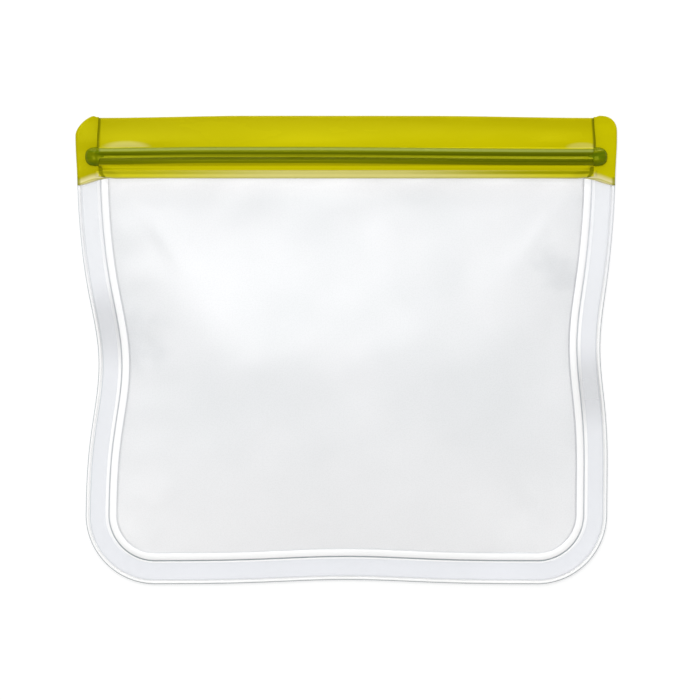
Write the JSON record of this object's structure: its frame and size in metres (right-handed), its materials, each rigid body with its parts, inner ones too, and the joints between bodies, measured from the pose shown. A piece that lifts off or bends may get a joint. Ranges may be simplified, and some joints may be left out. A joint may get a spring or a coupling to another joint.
{
  "type": "reusable zip-top storage bag",
  "caption": "Flat food storage bag of frosted plastic film with a clear welded border and a translucent yellow-green header that holds a double press-to-close zip.",
  "frame": {"origin": "middle of the face that the bag lies on: half way across the bag and half way from its bottom edge to its lips, at the underside of the back film", "axes": "+X across the bag (to the right when its front is seen with the mouth at the top), +Y from the bottom edge to the mouth, +Z from the back film to the front film, up when the bag lies on its back"},
  "size_m": [0.2, 0.173, 0.0122],
  "materials": {
    "frosted_film": "frosted translucent film, satin",
    "clear_weld": "clear glossy weld",
    "lap_film": "frosted film melted over the header, satin",
    "header_film": "translucent yellow-green film, smooth",
    "zip_track": "translucent dark olive-green, smooth"
  },
  "bodies": {
    "bag": {"back_panel": "frosted_film", "front_panel_lower": "frosted_film", "edge_bead": "clear_weld", "weld_band": "clear_weld", "seam_bead": "clear_weld", "lap_weld_back": "lap_film", "back_header_film": "header_film", "side_seal_left": "header_film", "side_seal_right": "header_film", "bulb_track_upper": "zip_track", "bulb_track_lower": "zip_track", "zip_stop_left": "zip_track", "zip_stop_right": "zip_track"},
    "front_wall": {"front_panel_upper": "frosted_film", "lap_weld_front": "lap_film", "front_header_film": "header_film", "jaw_track_upper": "zip_track", "jaw_track_lower": "zip_track"}
  },
  "joints": [
    {"name": "mouth", "type": "hinge", "parent": "bag", "child": "front_wall", "pos_m": [0, -0.0025, 0.0123], "axis": [1, 0, 0], "range_deg": [0, 28], "deforming": ["jaw_track_upper", "jaw_track_lower"]}
  ]
}
